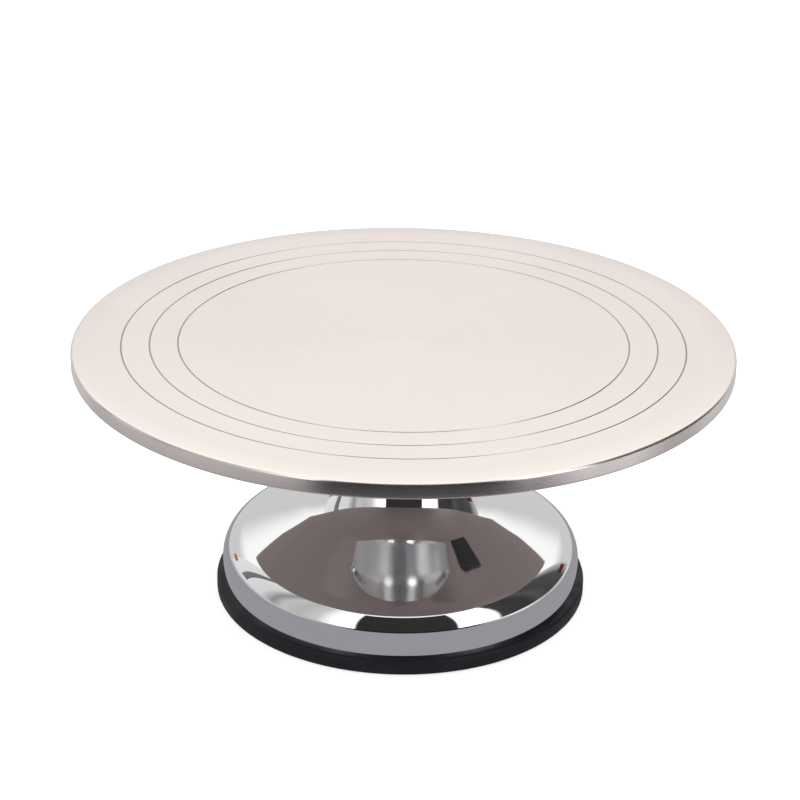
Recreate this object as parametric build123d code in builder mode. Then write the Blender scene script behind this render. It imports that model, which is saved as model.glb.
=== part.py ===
from build123d import *

import math
import os

# Cake turntable: a flat round plate that spins on two ball bearings above a bell-shaped, weighted base.
# Millimetres. +Z is up, and the origin is on the spin axis, at the surface that the turntable stands on.

INCH = 25.4
THREAD_GAP = 0.04
SCREW_CLEARANCE = 0.3
OVERSHOOT = 1.0

# Plate
PLATE_RADIUS = 149.4
PLATE_TOP = 124.8
PLATE_THICKNESS = 7.2
PLATE_UNDERSIDE = PLATE_TOP - PLATE_THICKNESS
RIM_TOP_ROUND = 1.4
RIM_BOTTOM_ROUND = 1.0
GUIDE_RING_DIAMETERS = (8 * INCH, 9 * INCH, 10 * INCH)
GUIDE_RING_WIDTH = 0.7
GUIDE_RING_DEPTH = 0.35
BOSS_RADIUS = 30.0
BOSS_LENGTH = 23.0
BOSS_END = PLATE_UNDERSIDE - BOSS_LENGTH
BOSS_EDGE = 0.8
BOSS_POCKET_RADIUS = 17.0
BOSS_POCKET_DEPTH = 13.0

# Rolling bearings, 25 x 42 x 9
BEARING_BORE_RADIUS = 12.5
BEARING_OUTER_RADIUS = 21.0
BEARING_WIDTH = 9.0
BALL_COUNT = 12
BALL_RADIUS = 2.38
PITCH_RADIUS = 16.75
TRACK_RADIUS = 2.5
INNER_LAND_RADIUS = 15.4
OUTER_LAND_RADIUS = 18.1
RACE_CORNER = 0.4
CAGE_INNER_RADIUS = 15.85
CAGE_OUTER_RADIUS = 17.65
CAGE_WIDTH = 6.6
CAGE_POCKET_RADIUS = 2.58
SHIELD_THICKNESS = 0.3
SHIELD_INSET = 0.4
SHIELD_INNER_RADIUS = 15.7
SHIELD_SEAT_RADIUS = 18.6

# Heights of the bearings
LOWER_BEARING_BASE = 72.0
BEARING_GAP = 3.0
LOWER_BEARING_TOP = LOWER_BEARING_BASE + BEARING_WIDTH
UPPER_BEARING_BASE = LOWER_BEARING_TOP + BEARING_GAP
UPPER_BEARING_TOP = UPPER_BEARING_BASE + BEARING_WIDTH

# Hub that carries the outer races and takes the plate's boss
HUB_RADIUS = 46.3
HUB_BASE = 87.0
HUB_BASE_ROUND = 6.6
HUB_COLLAR_RADIUS = 30.5
HUB_COLLAR_BASE = 67.0
HUB_COLLAR_CORNER = 3.0
HUB_LAND_RADIUS = 18.8
HUB_EDGE = 0.6
SOCKET_RADIUS = BOSS_RADIUS + 0.05
SOCKET_FLOOR = BOSS_END - 1.0

# Snap ring for a 42 mm bore
SNAP_RING_THICKNESS = 1.75
SNAP_RING_GROOVE_WIDTH = 1.85
SNAP_RING_GROOVE_RADIUS = 22.25
SNAP_RING_RADIUS = 22.15
SNAP_RING_INNER_RADIUS = 19.3
SNAP_RING_OFFSET = 0.5
SNAP_RING_GAP = 4.6
SNAP_RING_EAR_RADIUS = 2.3
SNAP_RING_EAR_HOLE_RADIUS = 1.0
SNAP_RING_EAR_REACH = 18.6

# Four radial M6 cap screws that clamp the hub to the boss
CLAMP_COUNT = 4
CLAMP_FIRST_ANGLE = -45.0
CLAMP_HEIGHT = 99.5
CLAMP_SEAT_RADIUS = 37.0
CLAMP_COUNTERBORE_RADIUS = 8.5
CLAMP_SHANK_RADIUS = 3.0
CLAMP_SHANK_LENGTH = 16.0
CLAMP_HEAD_RADIUS = 5.0
CLAMP_HEAD_LENGTH = 6.0
CLAMP_HEX = 5.0
CLAMP_HEX_DEPTH = 3.0

# Spindle
SPINDLE_RADIUS = 15.0
SPINDLE_END_GAP = 0.5
SPINDLE_TOP = UPPER_BEARING_TOP - SPINDLE_END_GAP
SPINDLE_EDGE = 0.8
FLANGE_RADIUS = 34.0
FLANGE_THICKNESS = 8.0
FLANGE_ROUND = 4.0
SPIGOT_RADIUS = 12.0
SPIGOT_LENGTH = 10.0

# M8 cap screw and washer that hold the inner races on the spindle
END_SCREW_RADIUS = 4.0
END_SCREW_LENGTH = 22.0
END_SCREW_BORE_DEPTH = 26.0
END_SCREW_HEAD_RADIUS = 6.5
END_SCREW_HEAD_LENGTH = 8.0
END_SCREW_HEX = 6.0
END_SCREW_HEX_DEPTH = 4.0
END_WASHER_RADIUS = 15.0
END_WASHER_THICKNESS = 2.5
END_WASHER_EDGE = 0.4

# Bell-shaped sheet-metal cover of the base
COVER_RADIUS = 83.5
COVER_SHEET = 1.5
COVER_FOOT = 6.0
SKIRT_EDGE_HEIGHT = 26.2
SKIRT_SLOPE = 21.2
SKIRT_ROUND = 14.7
SKIRT_BEND_RADIUS = 51.7
SKIRT_UPPER_SLOPE = 26.8
SKIRT_BEND = 145.0
NECK_TOP = 65.0
NECK_TOP_RADIUS = 28.0
NECK_LEAN = 18.5
NECK_SWEEP = 30.3
NECK_ROUND = 2.5
COVER_HOLE_RADIUS = SPINDLE_RADIUS + 0.2

# Slotted ring nut that pulls the cover down
RING_NUT_RADIUS = 19.0
RING_NUT_THICKNESS = 4.5
RING_NUT_SLOT_WIDTH = 5.0
RING_NUT_SLOT_DEPTH = 2.0
RING_NUT_SLOTS = 4

# Rubber foot ring round the lower edge
RUBBER_RADIUS = 86.5
RUBBER_WEB_RADIUS = 74.0
RUBBER_WEB = 3.0
RUBBER_TOP = 7.2
RUBBER_TOP_ROUND = 1.6
RUBBER_BOTTOM_ROUND = 1.2

# Cast ballast plate, with a ledge that the cover stands on
BALLAST_BASE = RUBBER_WEB
BALLAST_TOP = 15.0
BALLAST_RADIUS = 81.8
BALLAST_EDGE = 1.5
RIB_COUNT = 6
RIB_WIDTH = 6.0
RIB_HEIGHT = 5.0
RIB_START = 36.0
RIB_END = 74.0

# Four countersunk M6 screws, up through the ballast into the flange
FLANGE_SCREW_COUNT = 4
FLANGE_SCREW_CIRCLE = 24.0
FLANGE_SCREW_RADIUS = 3.0
FLANGE_SCREW_LENGTH = 16.0
FLANGE_SCREW_HEAD_RADIUS = 6.0
FLANGE_SCREW_HEX = 4.0
FLANGE_SCREW_HEX_DEPTH = 2.5
FLANGE_SCREW_RECESS = 0.4

# Blank label under the plate
LABEL_X = 59.8
LABEL_Y = -4.5
LABEL_LENGTH = 24.0
LABEL_WIDTH = 8.8
LABEL_TURN = 43.0
LABEL_ROUND = 4.0
LABEL_THICKNESS = 0.2


def radial_planes(count, first_angle, height, distance=0.0):
    """Evenly spaced planes whose normals point away from the spin axis, that far out and that high."""
    planes = []
    for i in range(count):
        angle = math.radians(first_angle + i * 360 / count)
        out = Vector(math.cos(angle), math.sin(angle), 0)
        planes.append(Plane(origin=out * distance + Vector(0, 0, height), x_dir=(0, 0, 1), z_dir=out))
    return planes


def section(low_radius, high_radius, low, high, mode=Mode.ADD):
    """The rectangle between two radii and two heights, in the half section that is being drawn."""
    with Locations(((low_radius + high_radius) / 2, (low + high) / 2)):
        Rectangle(high_radius - low_radius, high - low, mode=mode)


def corners_at(sketch, radius, height):
    """The half section's corner at that radius and height."""
    return [v for v in sketch.vertices() if abs(v.X - radius) < 1e-4 and abs(v.Z - height) < 1e-4]


def cap_screws(seats, shank, length, head, head_length, hexagon, hexagon_depth):
    """Socket-head cap screws, one for each seat plane, with the head on the plane's positive side."""
    with BuildPart() as screws:
        with BuildSketch(*seats):
            Circle(head)
        extrude(amount=head_length)
        with BuildSketch(*seats):
            Circle(shank)
        extrude(amount=-length)
        with BuildSketch(*[seat.offset(head_length) for seat in seats]):
            RegularPolygon(hexagon / 2, 6, major_radius=False)
        extrude(amount=-hexagon_depth, mode=Mode.SUBTRACT)
    return screws


def turntable_plate():
    """Cast and turned plate with three guide rings on top, and a boss below that the hub grips."""
    with BuildPart() as plate:
        with BuildSketch(Plane.XZ) as half:
            section(0, PLATE_RADIUS, PLATE_UNDERSIDE, PLATE_TOP)
            section(0, BOSS_RADIUS, BOSS_END, PLATE_UNDERSIDE)
            section(0, BOSS_POCKET_RADIUS, BOSS_END, BOSS_END + BOSS_POCKET_DEPTH, Mode.SUBTRACT)
            for diameter in GUIDE_RING_DIAMETERS:
                inner = diameter / 2 - GUIDE_RING_WIDTH / 2
                outer = diameter / 2 + GUIDE_RING_WIDTH / 2
                with BuildLine():
                    Polyline(
                        (inner, PLATE_TOP),
                        (diameter / 2, PLATE_TOP - GUIDE_RING_DEPTH),
                        (outer, PLATE_TOP),
                        close=True,
                    )
                make_face(mode=Mode.SUBTRACT)
            fillet(corners_at(half, PLATE_RADIUS, PLATE_TOP), RIM_TOP_ROUND)
            fillet(corners_at(half, PLATE_RADIUS, PLATE_UNDERSIDE), RIM_BOTTOM_ROUND)
            chamfer(corners_at(half, BOSS_RADIUS, BOSS_END), BOSS_EDGE)
        revolve(axis=Axis.Z)
        with BuildSketch(*radial_planes(CLAMP_COUNT, CLAMP_FIRST_ANGLE, CLAMP_HEIGHT)):
            Circle(CLAMP_SHANK_RADIUS + THREAD_GAP)
        extrude(amount=BOSS_RADIUS + OVERSHOOT, mode=Mode.SUBTRACT)
    return plate


def bearing_hub():
    """Hub that grips the plate's boss, with a collar below that reaches down over the lower bearing."""
    holes = radial_planes(CLAMP_COUNT, CLAMP_FIRST_ANGLE, CLAMP_HEIGHT)
    seats = radial_planes(CLAMP_COUNT, CLAMP_FIRST_ANGLE, CLAMP_HEIGHT, CLAMP_SEAT_RADIUS)
    groove = LOWER_BEARING_BASE - SNAP_RING_GROOVE_WIDTH
    with BuildPart() as hub:
        with BuildSketch(Plane.XZ) as half:
            section(HUB_LAND_RADIUS, HUB_RADIUS, HUB_BASE, PLATE_UNDERSIDE)
            section(HUB_LAND_RADIUS, HUB_COLLAR_RADIUS, HUB_COLLAR_BASE, HUB_BASE)
            section(0, SOCKET_RADIUS, SOCKET_FLOOR, PLATE_UNDERSIDE, Mode.SUBTRACT)
            section(0, BEARING_OUTER_RADIUS, UPPER_BEARING_BASE, SOCKET_FLOOR, Mode.SUBTRACT)
            section(0, BEARING_OUTER_RADIUS, HUB_COLLAR_BASE, LOWER_BEARING_TOP, Mode.SUBTRACT)
            section(0, SNAP_RING_GROOVE_RADIUS, groove, LOWER_BEARING_BASE, Mode.SUBTRACT)
            chamfer(corners_at(half, HUB_RADIUS, PLATE_UNDERSIDE), HUB_EDGE)
            fillet(corners_at(half, HUB_RADIUS, HUB_BASE), HUB_BASE_ROUND)
            fillet(corners_at(half, HUB_COLLAR_RADIUS, HUB_BASE), HUB_COLLAR_CORNER)
            chamfer(corners_at(half, HUB_COLLAR_RADIUS, HUB_COLLAR_BASE), HUB_EDGE)
            chamfer(corners_at(half, BEARING_OUTER_RADIUS, HUB_COLLAR_BASE), HUB_EDGE)
        revolve(axis=Axis.Z)
        with BuildSketch(*holes):
            Circle(CLAMP_SHANK_RADIUS + SCREW_CLEARANCE)
        extrude(amount=HUB_RADIUS, mode=Mode.SUBTRACT)
        with BuildSketch(*seats):
            Circle(CLAMP_COUNTERBORE_RADIUS)
        extrude(amount=HUB_RADIUS, mode=Mode.SUBTRACT)
    return hub


def hub_clamp_screws():
    """Four cap screws through the hub's wall into the plate's boss."""
    return cap_screws(
        radial_planes(CLAMP_COUNT, CLAMP_FIRST_ANGLE, CLAMP_HEIGHT, CLAMP_SEAT_RADIUS),
        CLAMP_SHANK_RADIUS,
        CLAMP_SHANK_LENGTH,
        CLAMP_HEAD_RADIUS,
        CLAMP_HEAD_LENGTH,
        CLAMP_HEX,
        CLAMP_HEX_DEPTH,
    )


def snap_ring():
    """Internal snap ring under the lower bearing: wide at the back, open between two drilled ears."""
    with BuildPart() as ring:
        with BuildSketch(Plane.XY.offset(LOWER_BEARING_BASE - SNAP_RING_THICKNESS)):
            Circle(SNAP_RING_RADIUS)
            with Locations((SNAP_RING_OFFSET, 0)):
                Circle(SNAP_RING_INNER_RADIUS, mode=Mode.SUBTRACT)
            ear_side = SNAP_RING_GAP / 2 + SNAP_RING_EAR_RADIUS
            with Locations((SNAP_RING_EAR_REACH, ear_side), (SNAP_RING_EAR_REACH, -ear_side)):
                Circle(SNAP_RING_EAR_RADIUS)
                Circle(SNAP_RING_EAR_HOLE_RADIUS, mode=Mode.SUBTRACT)
            with Locations((SNAP_RING_RADIUS, 0)):
                Rectangle(SNAP_RING_RADIUS, SNAP_RING_GAP, mode=Mode.SUBTRACT)
        extrude(amount=SNAP_RING_THICKNESS)
    return ring


def shield_heights(base):
    """The lower faces of a bearing's two shields."""
    return (base + SHIELD_INSET, base + BEARING_WIDTH - SHIELD_INSET - SHIELD_THICKNESS)


def outer_race(base):
    """Outer ring of a bearing, with its ball track and the seats of its two shields."""
    with BuildPart() as race:
        with BuildSketch(Plane.XZ) as half:
            section(OUTER_LAND_RADIUS, BEARING_OUTER_RADIUS, base, base + BEARING_WIDTH)
            with Locations((PITCH_RADIUS, base + BEARING_WIDTH / 2)):
                Circle(TRACK_RADIUS, mode=Mode.SUBTRACT)
            for low in shield_heights(base):
                section(0, SHIELD_SEAT_RADIUS, low, low + SHIELD_THICKNESS, Mode.SUBTRACT)
            chamfer(corners_at(half, BEARING_OUTER_RADIUS, base), RACE_CORNER)
            chamfer(corners_at(half, BEARING_OUTER_RADIUS, base + BEARING_WIDTH), RACE_CORNER)
        revolve(axis=Axis.Z)
    return race


def inner_race(base):
    """Inner ring of a bearing, with its ball track."""
    with BuildPart() as race:
        with BuildSketch(Plane.XZ) as half:
            section(BEARING_BORE_RADIUS, INNER_LAND_RADIUS, base, base + BEARING_WIDTH)
            with Locations((PITCH_RADIUS, base + BEARING_WIDTH / 2)):
                Circle(TRACK_RADIUS, mode=Mode.SUBTRACT)
            chamfer(corners_at(half, BEARING_BORE_RADIUS, base), RACE_CORNER)
            chamfer(corners_at(half, BEARING_BORE_RADIUS, base + BEARING_WIDTH), RACE_CORNER)
        revolve(axis=Axis.Z)
    return race


def bearing_balls(base):
    """The balls of a bearing, each a separate solid."""
    with BuildPart() as balls:
        with Locations(Plane.XY.offset(base + BEARING_WIDTH / 2)):
            with PolarLocations(PITCH_RADIUS, BALL_COUNT):
                Sphere(BALL_RADIUS)
    return balls


def ball_cage(base):
    """Ring that keeps the balls of a bearing apart, with a round pocket for each."""
    middle = base + BEARING_WIDTH / 2
    with BuildPart() as cage:
        with BuildSketch(Plane.XY.offset(middle)):
            Circle(CAGE_OUTER_RADIUS)
            Circle(CAGE_INNER_RADIUS, mode=Mode.SUBTRACT)
        extrude(amount=CAGE_WIDTH / 2, both=True)
        with BuildSketch(*radial_planes(BALL_COUNT, 0, middle)):
            Circle(CAGE_POCKET_RADIUS)
        extrude(amount=CAGE_OUTER_RADIUS + OVERSHOOT, mode=Mode.SUBTRACT)
    return cage


def bearing_shields(base):
    """The two pressed-in dust shields of a bearing."""
    with BuildPart() as shields:
        with BuildSketch(*[Plane.XY.offset(low) for low in shield_heights(base)]):
            Circle(SHIELD_SEAT_RADIUS)
            Circle(SHIELD_INNER_RADIUS, mode=Mode.SUBTRACT)
        extrude(amount=SHIELD_THICKNESS)
    return shields


def race_spacer():
    """Sleeve on the spindle that keeps the two inner races apart."""
    with BuildPart() as sleeve:
        with BuildSketch(Plane.XY.offset(LOWER_BEARING_TOP)):
            Circle(SPINDLE_RADIUS)
            Circle(BEARING_BORE_RADIUS, mode=Mode.SUBTRACT)
        extrude(amount=BEARING_GAP)
    return sleeve


def spindle():
    """Stepped post: a flange and spigot on the ballast, a bearing journal above, tapped at the top."""
    flange_top = BALLAST_TOP + FLANGE_THICKNESS
    with BuildPart() as post:
        with BuildSketch(Plane.XZ) as half:
            section(0, SPIGOT_RADIUS, BALLAST_TOP - SPIGOT_LENGTH, BALLAST_TOP)
            section(0, FLANGE_RADIUS, BALLAST_TOP, flange_top)
            section(0, SPINDLE_RADIUS, flange_top, LOWER_BEARING_BASE)
            section(0, BEARING_BORE_RADIUS, LOWER_BEARING_BASE, SPINDLE_TOP)
            fillet(corners_at(half, SPINDLE_RADIUS, flange_top), FLANGE_ROUND)
            chamfer(corners_at(half, FLANGE_RADIUS, flange_top), SPINDLE_EDGE)
            chamfer(corners_at(half, BEARING_BORE_RADIUS, SPINDLE_TOP), SPINDLE_EDGE)
        revolve(axis=Axis.Z)
        with Locations(Plane.XY.offset(SPINDLE_TOP)):
            Hole(END_SCREW_RADIUS + THREAD_GAP, END_SCREW_BORE_DEPTH)
        with BuildSketch(Plane.XY.offset(BALLAST_TOP)):
            with PolarLocations(FLANGE_SCREW_CIRCLE, FLANGE_SCREW_COUNT):
                Circle(FLANGE_SCREW_RADIUS + THREAD_GAP)
        extrude(amount=FLANGE_THICKNESS, mode=Mode.SUBTRACT)
    return post


def spindle_end_washer():
    """Thick washer that bears on the upper inner race."""
    with BuildPart() as washer:
        with BuildSketch(Plane.XY.offset(UPPER_BEARING_TOP)):
            Circle(END_WASHER_RADIUS)
            Circle(END_SCREW_RADIUS + SCREW_CLEARANCE, mode=Mode.SUBTRACT)
        extrude(amount=END_WASHER_THICKNESS)
        chamfer(washer.edges().group_by(Axis.Z)[-1], END_WASHER_EDGE)
    return washer


def spindle_end_screw():
    """Cap screw in the top of the spindle."""
    return cap_screws(
        [Plane.XY.offset(UPPER_BEARING_TOP + END_WASHER_THICKNESS)],
        END_SCREW_RADIUS,
        END_SCREW_LENGTH,
        END_SCREW_HEAD_RADIUS,
        END_SCREW_HEAD_LENGTH,
        END_SCREW_HEX,
        END_SCREW_HEX_DEPTH,
    )


def skirt_bend():
    """Radius and height where the skirt's two slopes would meet if nothing were rounded."""
    run = COVER_RADIUS - SKIRT_BEND_RADIUS
    return (SKIRT_BEND_RADIUS, SKIRT_EDGE_HEIGHT + run * math.tan(math.radians(SKIRT_SLOPE)))


def skirt_meets_neck():
    """Radius and height where the upper slope would meet the leaning neck if nothing were rounded."""
    rise = math.tan(math.radians(SKIRT_UPPER_SLOPE))
    lean = math.tan(math.radians(NECK_LEAN))
    bend_radius, bend_height = skirt_bend()
    run = bend_radius - NECK_TOP_RADIUS - lean * NECK_TOP
    height = (bend_height + rise * run) / (1 - rise * lean)
    return (NECK_TOP_RADIUS + lean * (NECK_TOP - height), height)


def base_cover():
    """Spun cover: an upright wall, a round shoulder, a skirt that steepens into a neck, and a lip."""
    with BuildPart() as cover:
        with BuildSketch(Plane.XZ):
            with BuildLine():
                outside = FilletPolyline(
                    (COVER_RADIUS, COVER_FOOT),
                    (COVER_RADIUS, SKIRT_EDGE_HEIGHT),
                    skirt_bend(),
                    skirt_meets_neck(),
                    (NECK_TOP_RADIUS, NECK_TOP),
                    (COVER_HOLE_RADIUS, NECK_TOP),
                    radius=(SKIRT_ROUND, SKIRT_BEND, NECK_SWEEP, NECK_ROUND),
                )
                offset(outside, amount=COVER_SHEET, side=Side.LEFT, kind=Kind.INTERSECTION, closed=True)
            make_face()
        revolve(axis=Axis.Z)
    return cover


def cover_ring_nut():
    """Slotted ring nut on the spindle that presses on the cover's lip."""
    with BuildPart() as nut:
        with BuildSketch(Plane.XY.offset(NECK_TOP)):
            Circle(RING_NUT_RADIUS)
            Circle(SPINDLE_RADIUS, mode=Mode.SUBTRACT)
            with PolarLocations(RING_NUT_RADIUS, RING_NUT_SLOTS):
                Rectangle(2 * RING_NUT_SLOT_DEPTH, RING_NUT_SLOT_WIDTH, mode=Mode.SUBTRACT)
        extrude(amount=RING_NUT_THICKNESS)
    return nut


def ballast_plate():
    """Cast plate that gives the base its weight, with ribs round the spindle's flange."""
    with BuildPart() as ballast:
        with BuildSketch(Plane.XZ) as half:
            section(SPIGOT_RADIUS + THREAD_GAP, COVER_RADIUS, BALLAST_BASE, COVER_FOOT)
            section(SPIGOT_RADIUS + THREAD_GAP, BALLAST_RADIUS, COVER_FOOT, BALLAST_TOP)
            chamfer(corners_at(half, BALLAST_RADIUS, BALLAST_TOP), BALLAST_EDGE)
        revolve(axis=Axis.Z)
        with BuildSketch(Plane.XY.offset(BALLAST_TOP)):
            with PolarLocations((RIB_START + RIB_END) / 2, RIB_COUNT):
                Rectangle(RIB_END - RIB_START, RIB_WIDTH)
        extrude(amount=RIB_HEIGHT)
        with Locations(Plane.XY.offset(BALLAST_BASE).rotated((180, 0, 0))):
            with PolarLocations(FLANGE_SCREW_CIRCLE, FLANGE_SCREW_COUNT):
                CounterSinkHole(
                    FLANGE_SCREW_RADIUS + SCREW_CLEARANCE,
                    FLANGE_SCREW_HEAD_RADIUS + FLANGE_SCREW_RECESS,
                    counter_sink_angle=90,
                )
    return ballast


def flange_screws():
    """Four countersunk screws that hold the spindle on the ballast plate."""
    face = Plane.XY.offset(BALLAST_BASE + FLANGE_SCREW_RECESS)
    upwards = (Align.CENTER, Align.CENTER, Align.MIN)
    taper = FLANGE_SCREW_HEAD_RADIUS - FLANGE_SCREW_RADIUS
    with BuildPart() as screws:
        with Locations(face):
            with PolarLocations(FLANGE_SCREW_CIRCLE, FLANGE_SCREW_COUNT):
                Cone(FLANGE_SCREW_HEAD_RADIUS, FLANGE_SCREW_RADIUS, taper, align=upwards)
                Cylinder(FLANGE_SCREW_RADIUS, FLANGE_SCREW_LENGTH, align=upwards)
        with BuildSketch(face):
            with PolarLocations(FLANGE_SCREW_CIRCLE, FLANGE_SCREW_COUNT):
                RegularPolygon(FLANGE_SCREW_HEX / 2, 6, major_radius=False)
        extrude(amount=FLANGE_SCREW_HEX_DEPTH, mode=Mode.SUBTRACT)
    return screws


def rubber_foot_ring():
    """Rubber ring: a web under the ballast, and a lip round the ledge and the cover's lower edge."""
    with BuildPart() as ring:
        with BuildSketch(Plane.XZ) as half:
            section(RUBBER_WEB_RADIUS, RUBBER_RADIUS, 0, RUBBER_WEB)
            section(COVER_RADIUS, RUBBER_RADIUS, RUBBER_WEB, RUBBER_TOP)
            fillet(corners_at(half, RUBBER_RADIUS, RUBBER_TOP), RUBBER_TOP_ROUND)
            fillet(corners_at(half, RUBBER_RADIUS, 0), RUBBER_BOTTOM_ROUND)
        revolve(axis=Axis.Z)
    return ring


def underside_label():
    """Thin blank label stuck under the plate, beside the hub."""
    stuck = Plane(origin=(LABEL_X, LABEL_Y, PLATE_UNDERSIDE)).rotated((0, 0, LABEL_TURN))
    with BuildPart() as label:
        with BuildSketch(stuck):
            RectangleRounded(LABEL_LENGTH, LABEL_WIDTH, LABEL_ROUND)
        extrude(amount=-LABEL_THICKNESS)
    return label


def save(piece, name):
    """Writes one sub-part as a STEP file that carries its node's name."""
    piece.part.label = name
    export_step(piece.part, f"parts/{name}.step")


def main():
    os.makedirs("parts", exist_ok=True)
    save(turntable_plate(), "turntable_plate")
    save(bearing_hub(), "bearing_hub")
    save(hub_clamp_screws(), "hub_clamp_screws")
    save(snap_ring(), "snap_ring")
    save(underside_label(), "underside_label")
    for name, base in (("upper", UPPER_BEARING_BASE), ("lower", LOWER_BEARING_BASE)):
        save(outer_race(base), f"{name}_bearing_outer_race")
        save(inner_race(base), f"{name}_bearing_inner_race")
        save(bearing_balls(base), f"{name}_bearing_balls")
        save(ball_cage(base), f"{name}_bearing_cage")
        save(bearing_shields(base), f"{name}_bearing_shields")
    save(race_spacer(), "race_spacer")
    save(spindle(), "spindle")
    save(spindle_end_washer(), "spindle_end_washer")
    save(spindle_end_screw(), "spindle_end_screw")
    save(base_cover(), "base_cover")
    save(cover_ring_nut(), "cover_ring_nut")
    save(ballast_plate(), "ballast_plate")
    save(flange_screws(), "flange_screws")
    save(rubber_foot_ring(), "rubber_foot_ring")


main()
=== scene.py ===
import math

import bmesh
import bpy
from mathutils import Euler, Matrix, Vector


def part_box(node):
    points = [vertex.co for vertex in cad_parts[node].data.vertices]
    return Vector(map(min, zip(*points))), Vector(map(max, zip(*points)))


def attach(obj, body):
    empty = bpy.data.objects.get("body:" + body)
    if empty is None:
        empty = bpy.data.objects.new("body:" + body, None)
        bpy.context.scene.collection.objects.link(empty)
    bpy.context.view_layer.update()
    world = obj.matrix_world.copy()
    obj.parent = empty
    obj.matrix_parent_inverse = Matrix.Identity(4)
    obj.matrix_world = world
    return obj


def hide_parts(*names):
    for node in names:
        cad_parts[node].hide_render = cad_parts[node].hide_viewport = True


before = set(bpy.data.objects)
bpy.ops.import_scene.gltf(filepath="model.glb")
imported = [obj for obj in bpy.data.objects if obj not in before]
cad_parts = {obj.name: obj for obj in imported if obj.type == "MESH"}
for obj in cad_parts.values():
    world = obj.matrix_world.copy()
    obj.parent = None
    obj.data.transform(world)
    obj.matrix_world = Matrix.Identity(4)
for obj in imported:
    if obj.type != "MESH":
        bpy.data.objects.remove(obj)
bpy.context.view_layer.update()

MM = 0.001
UP = Vector((0, 0, 1))

# ---------------------------------------------------------------- sizes read from the frame

plate_low, plate_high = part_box("turntable_plate")
hub_low, hub_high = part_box("bearing_hub")
cover_low, cover_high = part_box("base_cover")
rubber_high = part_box("rubber_foot_ring")[1]
ballast_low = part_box("ballast_plate")[0]
screws_low, screws_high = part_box("hub_clamp_screws")

PLATE_RADIUS = plate_high.y
PLATE_TOP = plate_high.z
PLATE_UNDERSIDE = hub_high.z
HUB_RADIUS = hub_high.y
HUB_COLLAR_BASE = hub_low.z
COVER_RADIUS = cover_high.x
COVER_FOOT = cover_low.z
COVER_TOP = cover_high.z
RUBBER_RADIUS = rubber_high.x
RUBBER_TOP = rubber_high.z
CLAMP_HEIGHT = (screws_low.z + screws_high.z) / 2

# ---------------------------------------------------------------- outlines

def rounded_path(corners, radii, steps=10):
    """The path through those corners, each inner one rounded by its radius."""
    points = [corners[0]]
    for i, radius in enumerate(radii, start=1):
        corner = Vector(corners[i])
        if radius == 0:
            points.append(tuple(corner))
            continue
        back = (Vector(corners[i - 1]) - corner).normalized()
        ahead = (Vector(corners[i + 1]) - corner).normalized()
        half = back.angle(ahead) / 2
        centre = corner + (back + ahead).normalized() * radius / math.sin(half)
        first = corner + back * radius / math.tan(half) - centre
        last = corner + ahead * radius / math.tan(half) - centre
        turn = first.angle_signed(last)
        for k in range(steps + 1):
            points.append(tuple(centre + Matrix.Rotation(-turn * k / steps, 2) @ first))
    points.append(corners[-1])
    return points


def divide(points, longest):
    """The same path with its long runs cut into equal shorter ones."""
    dense = [points[0]]
    for a, b in zip(points, points[1:]):
        count = max(1, math.ceil(math.dist(a, b) / longest))
        for k in range(1, count + 1):
            dense.append((a[0] + (b[0] - a[0]) * k / count, a[1] + (b[1] - a[1]) * k / count))
    return dense


def lathe(name, outline, segments, smooth_below=35):
    """A closed turned body: the closed outline of (radius, height) points goes round the spin axis."""
    mesh = bpy.data.meshes.new(name)
    form = bmesh.new()
    rings = []
    for radius, height in outline:
        if radius < 1e-9:
            rings.append([form.verts.new((0, 0, height))] * segments)
            continue
        ring = []
        for i in range(segments):
            angle = 2 * math.pi * i / segments
            ring.append(form.verts.new((radius * math.cos(angle), radius * math.sin(angle), height)))
        rings.append(ring)
    for a, b in zip(rings, rings[1:] + rings[:1]):
        for i in range(segments):
            j = (i + 1) % segments
            corners = list(dict.fromkeys((a[i], a[j], b[j], b[i])))
            if len(corners) > 2:
                form.faces.new(corners)
    bmesh.ops.recalc_face_normals(form, faces=form.faces)
    form.to_mesh(mesh)
    form.free()
    mesh.shade_smooth()
    mesh.set_sharp_from_angle(angle=math.radians(smooth_below))
    piece = bpy.data.objects.new(name, mesh)
    bpy.context.scene.collection.objects.link(piece)
    return piece


# ---------------------------------------------------------------- materials

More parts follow.
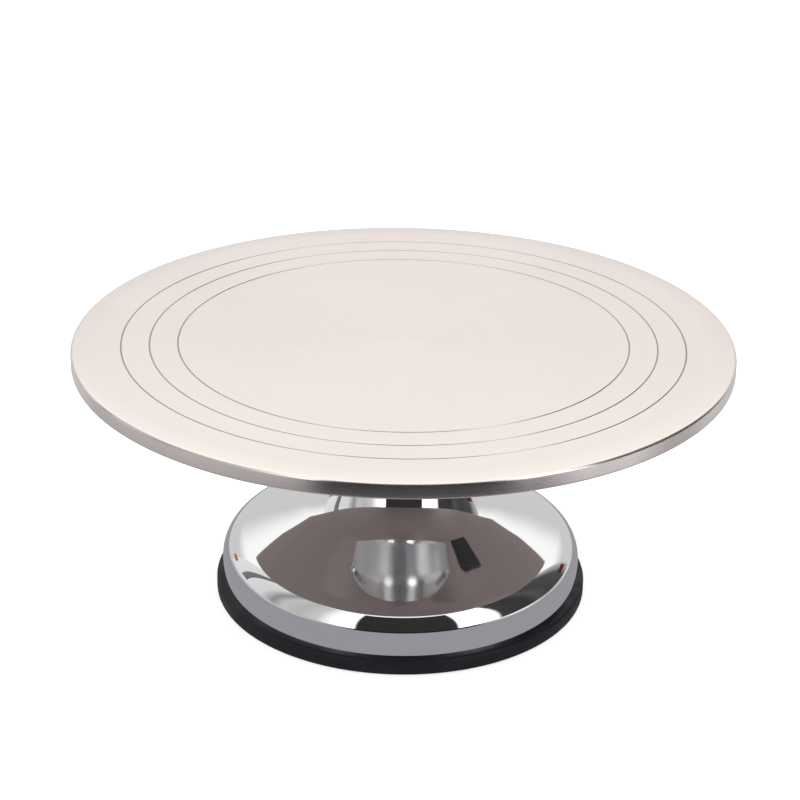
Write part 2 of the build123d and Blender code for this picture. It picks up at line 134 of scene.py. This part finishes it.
class Nodes:
    """Short names for building one node tree."""

    def __init__(self, owner):
        self.tree = owner.node_tree

    def add(self, kind, inputs=None, **settings):
        node = self.tree.nodes.new(kind)
        for key, value in settings.items():
            setattr(node, key, value)
        for key, value in (inputs or {}).items():
            self.feed(node.inputs[key], value)
        return node

    def feed(self, socket, value):
        if isinstance(value, bpy.types.NodeSocket):
            self.tree.links.new(value, socket)
        else:
            socket.default_value = value

    def math(self, operation, *values):
        node = self.add("ShaderNodeMath", operation=operation)
        for socket, value in zip(node.inputs, values):
            self.feed(socket, value)
        return node.outputs[0]

    def spread(self, value, low, high, to_low, to_high):
        node = self.add("ShaderNodeMapRange", interpolation_type="SMOOTHSTEP")
        for key, number in (("Value", value), ("From Min", low), ("From Max", high)):
            self.feed(node.inputs[key], number)
        self.feed(node.inputs["To Min"], to_low)
        self.feed(node.inputs["To Max"], to_high)
        return node.outputs["Result"]

    def blend(self, factor, a, b):
        node = self.add("ShaderNodeMix", data_type="RGBA")
        self.feed(node.inputs[0], factor)
        self.feed(node.inputs[6], a)
        self.feed(node.inputs[7], b)
        return node.outputs[2]

    def noise(self, scale, detail=2.0, rough=0.5, vector=None, distortion=0.0):
        node = self.add("ShaderNodeTexNoise")
        node.inputs["Scale"].default_value = scale
        node.inputs["Detail"].default_value = detail
        node.inputs["Roughness"].default_value = rough
        node.inputs["Distortion"].default_value = distortion
        self.feed(node.inputs["Vector"], vector or self.place())
        return node.outputs["Fac"]

    def place(self):
        return self.add("ShaderNodeTexCoord").outputs["Object"]

    def turned(self, pitch, stretch=0.6, detail=3.0):
        """Noise that runs in circles round the spin axis, as a lathe tool leaves it."""
        split = self.add("ShaderNodeSeparateXYZ", {"Vector": self.place()})
        x, y, z = split.outputs
        squares = self.math("ADD", self.math("MULTIPLY", x, x), self.math("MULTIPLY", y, y))
        radius = self.math("SQRT", squares)
        across = self.math("MAXIMUM", radius, 1e-4)
        joined = self.add("ShaderNodeCombineXYZ")
        self.feed(joined.inputs[0], self.math("DIVIDE", radius, pitch))
        self.feed(joined.inputs[1], self.math("DIVIDE", z, pitch))
        self.feed(joined.inputs[2], self.math("MULTIPLY", self.math("DIVIDE", x, across), stretch))
        node = self.add("ShaderNodeTexNoise", noise_dimensions="4D")
        self.feed(node.inputs["Vector"], joined.outputs[0])
        self.feed(node.inputs["W"], self.math("MULTIPLY", self.math("DIVIDE", y, across), stretch))
        node.inputs["Scale"].default_value = 1.0
        node.inputs["Detail"].default_value = detail
        return node.outputs["Fac"]

    def scratches(self, scale, width):
        """Hairlines: 1 on a few wandering lines, 0 elsewhere."""
        level = self.noise(scale, detail=1.0, distortion=0.6)
        away = self.math("ABSOLUTE", self.math("SUBTRACT", level, 0.5))
        return self.spread(away, 0.0, width, 1.0, 0.0)

    def bump(self, height, distance, strength=1.0):
        node = self.add("ShaderNodeBump")
        node.inputs["Strength"].default_value = strength
        node.inputs["Distance"].default_value = distance
        self.feed(node.inputs["Height"], height)
        return node.outputs["Normal"]


def material(name, colour, metallic, roughness):
    """A new material, its Principled shader and its node helper."""
    made = bpy.data.materials.new(name)
    made.use_nodes = True
    shader = made.node_tree.nodes["Principled BSDF"]
    shader.inputs["Base Color"].default_value = (*colour, 1)
    shader.inputs["Metallic"].default_value = metallic
    shader.inputs["Roughness"].default_value = roughness
    return made, shader, Nodes(made)


def turned_metal(name, light, dark, rough_low, rough_high, pitch, cut, anisotropy):
    """Metal finished on a lathe: fine circular marks, a little uneven sheen, and hairline scratches."""
    made, shader, nodes = material(name, light, 1.0, rough_low)
    fine = nodes.turned(pitch)
    broad = nodes.turned(pitch * 14, stretch=1.5)
    cloud = nodes.noise(18, detail=3.0)
    patchy = nodes.math("ADD", nodes.math("MULTIPLY", broad, 0.6), nodes.math("MULTIPLY", cloud, 0.4))
    tone = nodes.spread(patchy, 0.3, 0.7, 0.0, 1.0)
    nodes.feed(shader.inputs["Base Color"], nodes.blend(tone, (*dark, 1), (*light, 1)))
    sheen = nodes.math("ADD", nodes.math("MULTIPLY", fine, 0.5), nodes.math("MULTIPLY", cloud, 0.5))
    uneven = nodes.spread(sheen, 0.3, 0.7, rough_low, rough_high)
    scratch = nodes.scratches(35, 0.001)
    smoother = nodes.math("MULTIPLY", scratch, 0.015)
    nodes.feed(shader.inputs["Roughness"], nodes.math("SUBTRACT", uneven, smoother))
    nodes.feed(shader.inputs["Normal"], nodes.bump(fine, cut))
    shader.inputs["Anisotropic"].default_value = anisotropy
    shader.inputs["Anisotropic Rotation"].default_value = 0.25
    tangent = nodes.add("ShaderNodeTangent", direction_type="RADIAL", axis="Z")
    nodes.feed(shader.inputs["Tangent"], tangent.outputs[0])
    return made


def polished_chrome():
    """Plated spun steel: a near mirror with faint spinning lines, haze and wipe marks."""
    made, shader, nodes = material("polished_chrome", (0.86, 0.86, 0.87), 1.0, 0.03)
    spun = nodes.turned(2.2 * MM, stretch=0.3)
    haze = nodes.noise(11, detail=4.0)
    wiped = nodes.scratches(16, 0.003)
    rough = nodes.spread(haze, 0.35, 0.75, 0.025, 0.06)
    nodes.feed(shader.inputs["Roughness"], nodes.math("ADD", rough, nodes.math("MULTIPLY", wiped, 0.05)))
    nodes.feed(shader.inputs["Normal"], nodes.bump(spun, 0.004 * MM, 0.5))
    return made


def foot_rubber():
    """Moulded black rubber with a fine grain and a little dust."""
    made, shader, nodes = material("foot_rubber", (0.008, 0.008, 0.013), 0.0, 0.5)
    shader.inputs["Specular IOR Level"].default_value = 0.3
    grain = nodes.noise(2600, detail=3.0)
    dust = nodes.noise(60, detail=5.0, rough=0.65)
    tint = nodes.spread(dust, 0.45, 0.75, 0.0, 1.0)
    colour = nodes.blend(tint, (0.006, 0.006, 0.010, 1), (0.014, 0.014, 0.020, 1))
    nodes.feed(shader.inputs["Base Color"], colour)
    nodes.feed(shader.inputs["Roughness"], nodes.spread(dust, 0.3, 0.7, 0.42, 0.6))
    nodes.feed(shader.inputs["Normal"], nodes.bump(grain, 0.05 * MM, 0.5))
    return made


def dark_steel(name, colour):
    """Blackened steel, worn a little lighter in patches."""
    made, shader, nodes = material(name, colour, 1.0, 0.4)
    worn = nodes.noise(420, detail=4.0, rough=0.6)
    light = tuple(min(1.0, 3.2 * value + 0.03) for value in colour)
    rubbed = nodes.spread(worn, 0.58, 0.75, 0, 1)
    nodes.feed(shader.inputs["Base Color"], nodes.blend(rubbed, (*colour, 1), (*light, 1)))
    nodes.feed(shader.inputs["Roughness"], nodes.spread(worn, 0.3, 0.7, 0.32, 0.5))
    nodes.feed(shader.inputs["Normal"], nodes.bump(nodes.noise(1800), 0.02 * MM, 0.4))
    return made


def cast_iron():
    """Sand-cast iron under thin dark paint."""
    made, shader, nodes = material("cast_iron", (0.03, 0.03, 0.032), 0.0, 0.55)
    sand = nodes.noise(900, detail=5.0, rough=0.7)
    patch = nodes.noise(45, detail=3.0)
    painted = nodes.spread(patch, 0.35, 0.7, 0, 1)
    colour = nodes.blend(painted, (0.022, 0.022, 0.024, 1), (0.05, 0.049, 0.047, 1))
    nodes.feed(shader.inputs["Base Color"], colour)
    nodes.feed(shader.inputs["Roughness"], nodes.spread(patch, 0.3, 0.7, 0.45, 0.7))
    nodes.feed(shader.inputs["Normal"], nodes.bump(sand, 0.25 * MM, 0.7))
    return made


def label_film():
    """Matte black printed film with a slightly uneven surface."""
    made, shader, nodes = material("label_film", (0.012, 0.012, 0.012), 0.0, 0.45)
    ripple = nodes.noise(140, detail=2.0)
    faded = nodes.spread(ripple, 0.3, 0.7, 0, 1)
    colour = nodes.blend(faded, (0.008, 0.008, 0.008, 1), (0.018, 0.018, 0.018, 1))
    nodes.feed(shader.inputs["Base Color"], colour)
    nodes.feed(shader.inputs["Roughness"], nodes.spread(ripple, 0.3, 0.7, 0.38, 0.5))
    nodes.feed(shader.inputs["Normal"], nodes.bump(ripple, 0.1 * MM, 0.3))
    return made


PLATE_METAL = turned_metal("plate_aluminium", (0.94, 0.865, 0.82), (0.92, 0.845, 0.80),
                           0.26, 0.30, 0.35 * MM, 0.0015 * MM, 0.5)
# Painted shade: the underside is a much darker copy of the top's aluminium, standing in for the shadow
# under the plate.
UNDERSIDE_PAINTED_SHADE_METAL = turned_metal("underside_aluminium_painted_shade", (0.56, 0.475, 0.44), (0.52, 0.435, 0.40),
                               0.44, 0.50, 0.6 * MM, 0.004 * MM, 0.6)
# Painted shade: the guide rings' grooves get a darker copy of the top's aluminium, as shade in the
# recesses.
GROOVE_PAINTED_SHADE_METAL = turned_metal("groove_aluminium_painted_shade", (0.62, 0.53, 0.47), (0.52, 0.44, 0.39),
                            0.30, 0.42, 0.3 * MM, 0.004 * MM, 0.3)
# Painted shade: the rim's side is a darker copy of the top's aluminium.
RIM_PAINTED_SHADE_METAL = turned_metal("rim_aluminium_painted_shade", (0.80, 0.74, 0.72), (0.74, 0.68, 0.66),
                         0.22, 0.29, 0.4 * MM, 0.004 * MM, 0.9)
HUB_METAL = turned_metal("hub_aluminium", (0.88, 0.87, 0.87), (0.82, 0.81, 0.81),
                         0.36, 0.43, 0.5 * MM, 0.003 * MM, 1.0)
STEEL = turned_metal("turned_steel", (0.56, 0.56, 0.57), (0.46, 0.46, 0.47),
                     0.22, 0.36, 0.4 * MM, 0.006 * MM, 0.5)
BRASS = turned_metal("cage_brass", (0.72, 0.52, 0.24), (0.60, 0.42, 0.18),
                     0.25, 0.38, 0.4 * MM, 0.006 * MM, 0.3)
CHROME = polished_chrome()
RUBBER = foot_rubber()
BLACK_STEEL = dark_steel("black_oxide", (0.035, 0.035, 0.037))
GREY_STEEL = dark_steel("zinc_steel", (0.30, 0.30, 0.31))
IRON = cast_iron()
LABEL = label_film()

# ---------------------------------------------------------------- plate

RIM_TOP_ROUND = 1.4 * MM
RIM_BOTTOM_ROUND = 1.0 * MM
BOSS_RADIUS = 30.0 * MM
BOSS_POCKET_RADIUS = 17.0 * MM
BOSS_POCKET_DEPTH = 13.0 * MM
BOSS_EDGE = 0.8 * MM
GUIDE_RINGS = [diameter * 25.4 * MM / 2 for diameter in (8, 9, 10)]
GUIDE_RING_WIDTH = 0.7 * MM
GUIDE_RING_DEPTH = 0.35 * MM
RIM_DEPTH = 3 * MM
FLAT_FACE = 0.7
LONGEST_PLATE_RUN = 12 * MM


def plate_outline():
    """The plate's half section, from the centre of the top round the rim to the boss and back."""
    top = [(0, PLATE_TOP)]
    for radius in GUIDE_RINGS:
        top.append((radius - GUIDE_RING_WIDTH / 2, PLATE_TOP))
        top.append((radius - GUIDE_RING_WIDTH / 8, PLATE_TOP - GUIDE_RING_DEPTH))
        top.append((radius + GUIDE_RING_WIDTH / 8, PLATE_TOP - GUIDE_RING_DEPTH))
        top.append((radius + GUIDE_RING_WIDTH / 2, PLATE_TOP))
    rim = rounded_path(
        [
            top[-1],
            (PLATE_RADIUS, PLATE_TOP),
            (PLATE_RADIUS, PLATE_UNDERSIDE),
            (BOSS_RADIUS, PLATE_UNDERSIDE),
        ],
        [RIM_TOP_ROUND, RIM_BOTTOM_ROUND],
        steps=8,
    )
    end = plate_low.z
    boss = [
        (BOSS_RADIUS, end + BOSS_EDGE),
        (BOSS_RADIUS - BOSS_EDGE, end),
        (BOSS_POCKET_RADIUS, end),
        (BOSS_POCKET_RADIUS, end + BOSS_POCKET_DEPTH),
        (0, end + BOSS_POCKET_DEPTH),
    ]
    return divide(top + rim[1:] + boss, LONGEST_PLATE_RUN)


def make_plate():
    plate = lathe("plate", plate_outline(), 512, smooth_below=25)
    for metal in (PLATE_METAL, RIM_PAINTED_SHADE_METAL, UNDERSIDE_PAINTED_SHADE_METAL, GROOVE_PAINTED_SHADE_METAL):
        plate.data.materials.append(metal)
    # Faces facing down, the rings' grooves and the rim's side take the darker copies of the aluminium:
    # painted shade.
    for face in plate.data.polygons:
        reach = face.center.xy.length
        in_ring = any(abs(reach - ring) < 0.4 * GUIDE_RING_WIDTH for ring in GUIDE_RINGS)
        if face.normal.z < -FLAT_FACE:
            face.material_index = 2
        elif face.center.z > PLATE_UNDERSIDE and in_ring:
            face.material_index = 3
        elif face.normal.z < FLAT_FACE and reach > PLATE_RADIUS - RIM_DEPTH:
            face.material_index = 1
    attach(plate, "turntable")
    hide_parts("turntable_plate")
    return plate


# ---------------------------------------------------------------- base cover

SHEET = 1.5 * MM
SKIRT_EDGE_HEIGHT = 26.2 * MM
SKIRT_SLOPE = math.tan(math.radians(21.2))
SKIRT_ROUND = 14.7 * MM
SKIRT_BEND_RADIUS = 51.7 * MM
SKIRT_UPPER_SLOPE = math.tan(math.radians(26.8))
SKIRT_BEND = 145.0 * MM
NECK_TOP_RADIUS = 28.0 * MM
NECK_LEAN = math.tan(math.radians(18.5))
NECK_SWEEP = 30.3 * MM
NECK_ROUND = 2.5 * MM
COVER_HOLE_RADIUS = 15.2 * MM
LONGEST_COVER_RUN = 3 * MM


def cover_outline():
    """The sheet's half section: up the outside, over the lip, and down the inside."""
    bend = SKIRT_EDGE_HEIGHT + SKIRT_SLOPE * (COVER_RADIUS - SKIRT_BEND_RADIUS)
    run = SKIRT_BEND_RADIUS - NECK_TOP_RADIUS - NECK_LEAN * COVER_TOP
    meet = (bend + SKIRT_UPPER_SLOPE * run) / (1 - SKIRT_UPPER_SLOPE * NECK_LEAN)
    outside = rounded_path(
        [
            (COVER_RADIUS, COVER_FOOT),
            (COVER_RADIUS, SKIRT_EDGE_HEIGHT),
            (SKIRT_BEND_RADIUS, bend),
            (NECK_TOP_RADIUS + NECK_LEAN * (COVER_TOP - meet), meet),
            (NECK_TOP_RADIUS, COVER_TOP),
            (COVER_HOLE_RADIUS, COVER_TOP),
        ],
        [SKIRT_ROUND, SKIRT_BEND, NECK_SWEEP, NECK_ROUND],
        steps=36,
    )
    outside = divide(outside, LONGEST_COVER_RUN)
    inside = []
    for i, point in enumerate(outside):
        before = Vector(outside[max(i - 1, 0)])
        after = Vector(outside[min(i + 1, len(outside) - 1)])
        along = (after - before).normalized()
        inside.append((point[0] - along.y * SHEET, point[1] + along.x * SHEET))
    return outside + inside[::-1]


def make_cover():
    cover = lathe("cover", cover_outline(), 384)
    cover.data.materials.append(CHROME)
    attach(cover, "base")
    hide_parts("base_cover")
    return cover


# ---------------------------------------------------------------- rubber foot ring

RUBBER_WEB = ballast_low.z
RUBBER_WEB_RADIUS = 74.0 * MM
RUBBER_TOP_ROUND = 1.6 * MM
RUBBER_BOTTOM_ROUND = 1.2 * MM


def make_rubber_ring():
    outline = rounded_path(
        [
            (COVER_RADIUS, RUBBER_TOP),
            (RUBBER_RADIUS, RUBBER_TOP),
            (RUBBER_RADIUS, 0),
            (RUBBER_WEB_RADIUS, 0),
            (RUBBER_WEB_RADIUS, RUBBER_WEB),
            (COVER_RADIUS, RUBBER_WEB),
        ],
        [RUBBER_TOP_ROUND, RUBBER_BOTTOM_ROUND, 0, 0],
        steps=8,
    )
    ring = lathe("rubber_ring", outline, 320)
    ring.data.materials.append(RUBBER)
    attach(ring, "base")
    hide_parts("rubber_foot_ring")
    return ring


# ---------------------------------------------------------------- hub

HUB_EDGE = 0.6 * MM
HUB_BASE = 87.0 * MM
HUB_BASE_ROUND = 6.6 * MM
HUB_COLLAR_RADIUS = 30.5 * MM
HUB_COLLAR_CORNER = 3.0 * MM
SOCKET_PLAY = 0.05 * MM
SOCKET_SPACE = 1.0 * MM
SOCKET_RADIUS = BOSS_RADIUS + SOCKET_PLAY
SOCKET_FLOOR = plate_low.z - SOCKET_SPACE
BEARING_RADIUS = 21.0 * MM
HUB_LAND_RADIUS = 18.8 * MM
LOWER_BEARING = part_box("lower_bearing_outer_race")
UPPER_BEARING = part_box("upper_bearing_outer_race")
GROOVE_RADIUS = 22.25 * MM
GROOVE_WIDTH = 1.85 * MM
CLAMP_COUNT = 4
CLAMP_FIRST_ANGLE = -45
COUNTERBORE_RADIUS = 8.5 * MM
CLAMP_SEAT_RADIUS = 37.0 * MM
CLAMP_HOLE_RADIUS = 3.3 * MM


def hub_outline():
    """The hub's half section, from the socket's mouth round the outside to the bearing seats."""
    groove_top = LOWER_BEARING[0].z
    outside = rounded_path(
        [
            (SOCKET_RADIUS, PLATE_UNDERSIDE),
            (HUB_RADIUS, PLATE_UNDERSIDE),
            (HUB_RADIUS, HUB_BASE),
            (HUB_COLLAR_RADIUS, HUB_BASE),
            (HUB_COLLAR_RADIUS, HUB_COLLAR_BASE),
            (BEARING_RADIUS, HUB_COLLAR_BASE),
        ],
        [HUB_EDGE, HUB_BASE_ROUND, HUB_COLLAR_CORNER, HUB_EDGE],
        steps=12,
    )
    inside = [
        (BEARING_RADIUS + HUB_EDGE, HUB_COLLAR_BASE),
        (BEARING_RADIUS, HUB_COLLAR_BASE + HUB_EDGE),
        (BEARING_RADIUS, groove_top - GROOVE_WIDTH),
        (GROOVE_RADIUS, groove_top - GROOVE_WIDTH),
        (GROOVE_RADIUS, groove_top),
        (BEARING_RADIUS, groove_top),
        (BEARING_RADIUS, LOWER_BEARING[1].z),
        (HUB_LAND_RADIUS, LOWER_BEARING[1].z),
        (HUB_LAND_RADIUS, UPPER_BEARING[0].z),
        (BEARING_RADIUS, UPPER_BEARING[0].z),
        (BEARING_RADIUS, SOCKET_FLOOR),
        (SOCKET_RADIUS, SOCKET_FLOOR),
    ]
    return outside[:-1] + inside


def radial_cutter(angle, radius, start, end):
    """A round bar along a line out from the spin axis, at the clamp screws' height."""
    out = Vector((math.cos(angle), math.sin(angle), 0))
    form = bmesh.new()
    bmesh.ops.create_cone(
        form, segments=48, radius1=radius, radius2=radius, depth=end - start, cap_ends=True)
    turn = out.to_track_quat("Z", "Y").to_matrix().to_4x4()
    turn.translation = out * (start + end) / 2 + UP * CLAMP_HEIGHT
    bmesh.ops.transform(form, matrix=turn, verts=form.verts)
    mesh = bpy.data.meshes.new("cutter")
    form.to_mesh(mesh)
    form.free()
    cutter = bpy.data.objects.new("cutter", mesh)
    bpy.context.scene.collection.objects.link(cutter)
    return cutter


def drill(piece, cutters, smooth_below):
    """Cuts the bars out of the piece and takes the bars away."""
    for cutter in cutters:
        cut = piece.modifiers.new("cut", "BOOLEAN")
        cut.operation = "DIFFERENCE"
        cut.solver = "EXACT"
        cut.object = cutter
    done = bpy.data.meshes.new_from_object(piece.evaluated_get(bpy.context.evaluated_depsgraph_get()))
    piece.modifiers.clear()
    piece.data = done
    done.shade_smooth()
    done.set_sharp_from_angle(angle=math.radians(smooth_below))
    for cutter in cutters:
        bpy.data.objects.remove(cutter)


def make_hub():
    hub = lathe("hub", hub_outline(), 360)
    cutters = []
    for i in range(CLAMP_COUNT):
        angle = math.radians(CLAMP_FIRST_ANGLE + 360 * i / CLAMP_COUNT)
        cutters.append(radial_cutter(angle, COUNTERBORE_RADIUS, CLAMP_SEAT_RADIUS, HUB_RADIUS * 1.2))
        inner, outer = SOCKET_RADIUS * 0.9, CLAMP_SEAT_RADIUS * 1.05
        cutters.append(radial_cutter(angle, CLAMP_HOLE_RADIUS, inner, outer))
    drill(hub, cutters, 30)
    hub.data.materials.clear()
    hub.data.materials.append(HUB_METAL)
    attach(hub, "turntable")
    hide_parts("bearing_hub")
    return hub


# ---------------------------------------------------------------- CAD nodes that stay

KEPT_NODES = {
    "hub_clamp_screws": BLACK_STEEL,
    "snap_ring": BLACK_STEEL,
    "spindle_end_screw": BLACK_STEEL,
    "flange_screws": GREY_STEEL,
    "spindle_end_washer": GREY_STEEL,
    "cover_ring_nut": STEEL,
    "spindle": STEEL,
    "race_spacer": STEEL,
    "ballast_plate": IRON,
    "underside_label": LABEL,
}
for side in ("lower", "upper"):
    for part in ("outer_race", "inner_race", "shields", "balls"):
        KEPT_NODES[f"{side}_bearing_{part}"] = STEEL
    KEPT_NODES[f"{side}_bearing_cage"] = BRASS


def finish_kept_nodes():
    for name, metal in KEPT_NODES.items():
        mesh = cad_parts[name].data
        mesh.materials.clear()
        mesh.materials.append(metal)
        mesh.shade_smooth()
        mesh.set_sharp_from_angle(angle=math.radians(30))


make_plate()
make_cover()
make_rubber_ring()
hub = make_hub()
finish_kept_nodes()

# ---------------------------------------------------------------- studio

# Lengths in metres
STUDIO_RADIUS = 1.7
TABLE_REACH = 0.30
FLOOR_REACH = 12

# Strengths: BRIGHTEST is the most that a wall can show, and GLOW_RISE is where the world brightens
FLOOR_GLOW = 0.6
TABLE_GLOW = 0.36
BRIGHTEST = 4.0
HORIZON_GLOW = 0.66
ZENITH_GLOW = 1.10
GLOW_RISE = (0.26, 0.52)

# The hub's own soft boxes: (azimuth, strength), width and height, the middle's height, the distance
HUB_LIGHTS = ((-17, 9.5), (17, 15.5))
HUB_LIGHT_SIZE = (0.30, 0.46)
HUB_LIGHT_HEIGHT = -0.19
HUB_LIGHT_DISTANCE = 0.96 * STUDIO_RADIUS

# Strength of the studio wall by azimuth, from the object's left round the camera's side to its right
STUDIO_SHADES = (
    (-128, 0.84), (-92, 0.74), (-82, 0.30), (-74, 0.60), (-62, 0.52), (-50, 0.66),
    (-38, 1.35), (-27, 1.9), (-25.5, 0.03),
    (34, 0.03), (35.5, 2.1), (59, 2.0), (63, 0.05),
    (84, 0.04), (92, 0.09), (102, 0.06), (118, 0.08), (128, 0.55),
)

# The same for the floor beyond the table, which the plate's rim mirrors
LOW_SHADES = (
    (-128, 0.55), (-84, 0.60), (-62, 0.58), (-46, 0.42), (-34, 0.32), (-26, 0.015),
    (30, 0.01), (40, 0.01), (46, 0.07), (53, 0.42), (62, 0.80), (78, 1.02), (98, 0.52), (128, 0.80),
)

# Smaller things in the room: name, azimuths, heights, strengths at the two ends, and tint
ROOM_CARDS = (
    ("low_dark", (-114, -107), (0.14, 1.7), (0.22, 0.16), (1.0, 1.0, 1.0)),
    ("low_orange", (-131, -125), (0.16, 0.34), (0.55, 0.40), (1.0, 0.38, 0.12)),
    ("low_red", (118, 126), (0.22, 0.46), (0.09, 0.14), (1.0, 0.2, 0.24)),
)
ROOM_CARD_RADIUS = 1.66


def glowing(name, colour, strength):
    """A plain emitter for the studio."""
    made = bpy.data.materials.new(name)
    made.use_nodes = True
    tree = made.node_tree
    tree.nodes.clear()
    glow = tree.nodes.new("ShaderNodeEmission")
    glow.inputs["Color"].default_value = (*colour, 1)
    glow.inputs["Strength"].default_value = strength
    out = tree.nodes.new("ShaderNodeOutputMaterial")
    tree.links.new(glow.outputs[0], out.inputs["Surface"])
    return made


def only_reflected(thing):
    """Shows in reflections alone."""
    thing.visible_camera = False
    thing.visible_diffuse = False
    thing.visible_shadow = False
    thing.visible_transmission = False
    thing.visible_volume_scatter = False


def studio_direction(azimuth):
    """The direction that far round from the front, -Y, towards +X."""
    angle = math.radians(azimuth)
    return Vector((math.sin(angle), -math.cos(angle), 0))


def wall(name, azimuths, heights, shades, tint=(1.0, 1.0, 1.0), radius=STUDIO_RADIUS):
    """A curved wall round the object that glows from shade to shade: each is (azimuth, strength)."""
    form = bmesh.new()
    steps = max(2, round(abs(azimuths[1] - azimuths[0]) / 5))
    columns = []
    for i in range(steps + 1):
        out = studio_direction(azimuths[0] + (azimuths[1] - azimuths[0]) * i / steps) * radius
        columns.append([form.verts.new(out + UP * height) for height in heights])
    for a, b in zip(columns, columns[1:]):
        form.faces.new((a[0], b[0], b[1], a[1]))
    mesh = bpy.data.meshes.new(name)
    form.to_mesh(mesh)
    form.free()
    made = glowing(name, tint, 1.0)
    nodes = Nodes(made)
    x, y, z = nodes.add("ShaderNodeSeparateXYZ", {"Vector": nodes.place()}).outputs
    azimuth = nodes.math("DEGREES", nodes.math("ARCTAN2", x, nodes.math("MULTIPLY", y, -1.0)))
    span = nodes.math("DIVIDE", nodes.math("SUBTRACT", azimuth, azimuths[0]), azimuths[1] - azimuths[0])
    ramp = nodes.add("ShaderNodeValToRGB", {"Fac": span})
    stops = ramp.color_ramp.elements
    for place, shade in shades:
        share = (place - azimuths[0]) / (azimuths[1] - azimuths[0])
        stop = stops[0] if share <= 0 else stops[-1] if share >= 1 else stops.new(share)
        stop.color = (shade / BRIGHTEST, shade / BRIGHTEST, shade / BRIGHTEST, 1)
    glow = made.node_tree.nodes["Emission"]
    nodes.feed(glow.inputs["Strength"], nodes.math("MULTIPLY", ramp.outputs["Color"], BRIGHTEST))
    mesh.materials.append(made)
    thing = bpy.data.objects.new(name, mesh)
    bpy.context.scene.collection.objects.link(thing)
    only_reflected(thing)
    return thing


def hub_light(hub, azimuth, strength):
    """A narrow soft box for the hub alone, which the chrome doesn't mirror."""
    box = bpy.data.lights.new("hub_light", "AREA")
    box.shape = "RECTANGLE"
    box.size = HUB_LIGHT_SIZE[0]
    box.size_y = HUB_LIGHT_SIZE[1]
    box.energy = strength * math.pi * box.size * box.size_y
    light = bpy.data.objects.new("hub_light", box)
    light.location = studio_direction(azimuth) * HUB_LIGHT_DISTANCE + UP * HUB_LIGHT_HEIGHT
    light.rotation_euler = (math.radians(90), 0, math.radians(azimuth))
    bpy.context.scene.collection.objects.link(light)
    group = bpy.data.collections.new("hub_light")
    group.objects.link(hub)
    light.light_linking.receiver_collection = group


def disc(name, radius, height, made):
    """A flat round sheet on the spin axis, which is not part of the object."""
    form = bmesh.new()
    bmesh.ops.create_circle(form, cap_ends=True, segments=96, radius=radius)
    bmesh.ops.translate(form, vec=(0, 0, height), verts=form.verts)
    mesh = bpy.data.meshes.new(name)
    form.to_mesh(mesh)
    form.free()
    mesh.materials.append(made)
    thing = bpy.data.objects.new(name, mesh)
    bpy.context.scene.collection.objects.link(thing)
    return thing


def make_floor():
    """The pale ground, which the metal doesn't mirror."""
    made, shader, nodes = material("floor", (0.93, 0.93, 0.93), 0.0, 0.9)
    shader.inputs["Emission Color"].default_value = (1, 1, 1, 1)
    shader.inputs["Emission Strength"].default_value = FLOOR_GLOW
    colour = nodes.blend(nodes.noise(3, detail=2.0), (0.925, 0.925, 0.925, 1), (0.935, 0.935, 0.935, 1))
    nodes.feed(shader.inputs["Base Color"], colour)
    floor = disc("floor", FLOOR_REACH, -0.2 * MM, made)
    floor.visible_glossy = False


def make_reflected_table():
    """What the metal mirrors in place of the ground."""
    grey = glowing("table_grey", (0.93, 0.93, 1.0), TABLE_GLOW)
    table = disc("reflected_table", TABLE_REACH, -0.4 * MM, grey)
    only_reflected(table)


def make_world():
    """Light from all round, brighter overhead than at the horizon."""
    world = bpy.data.worlds.new("studio")
    bpy.context.scene.world = world
    world.use_nodes = True
    nodes = Nodes(world)
    direction = nodes.add("ShaderNodeTexCoord").outputs["Generated"]
    height = nodes.add("ShaderNodeSeparateXYZ", {"Vector": direction}).outputs[2]
    strength = nodes.spread(height, *GLOW_RISE, HORIZON_GLOW, ZENITH_GLOW)
    back = world.node_tree.nodes["Background"]
    back.inputs["Color"].default_value = (1.0, 0.995, 0.99, 1)
    nodes.feed(back.inputs["Strength"], strength)


make_floor()
make_reflected_table()
make_world()
wall("studio_wall", (-128, 128), (0.0, 1.9), STUDIO_SHADES)
wall("studio_floor", (-128, 128), (-1.5, 0.0), LOW_SHADES)
for name, azimuths, heights, ends, tint in ROOM_CARDS:
    wall(name, azimuths, heights, tuple(zip(azimuths, ends)), tint, ROOM_CARD_RADIUS)
for place, strength in HUB_LIGHTS:
    hub_light(hub, place, strength)

# ---------------------------------------------------------------- camera

CAMERA_PLACE = (-1.3 * MM, -928.6 * MM, 507.6 * MM)
CAMERA_TILT = 24.007
CAMERA_ROLL = 0.82
CAMERA_LENS = 99.96
CAMERA_SENSOR = 36


def make_camera():
    lens = bpy.data.cameras.new("camera")
    lens.lens = CAMERA_LENS
    lens.sensor_width = CAMERA_SENSOR
    camera = bpy.data.objects.new("camera", lens)
    bpy.context.scene.collection.objects.link(camera)
    aim = Euler((math.radians(90 - CAMERA_TILT), 0, 0)).to_matrix().to_4x4()
    roll = Matrix.Rotation(math.radians(CAMERA_ROLL), 4, "Z")
    camera.matrix_world = Matrix.Translation(CAMERA_PLACE) @ aim @ roll
    bpy.context.scene.camera = camera


make_camera()
bpy.context.scene.view_settings.view_transform = "Standard"

bpy.context.view_layer.update()
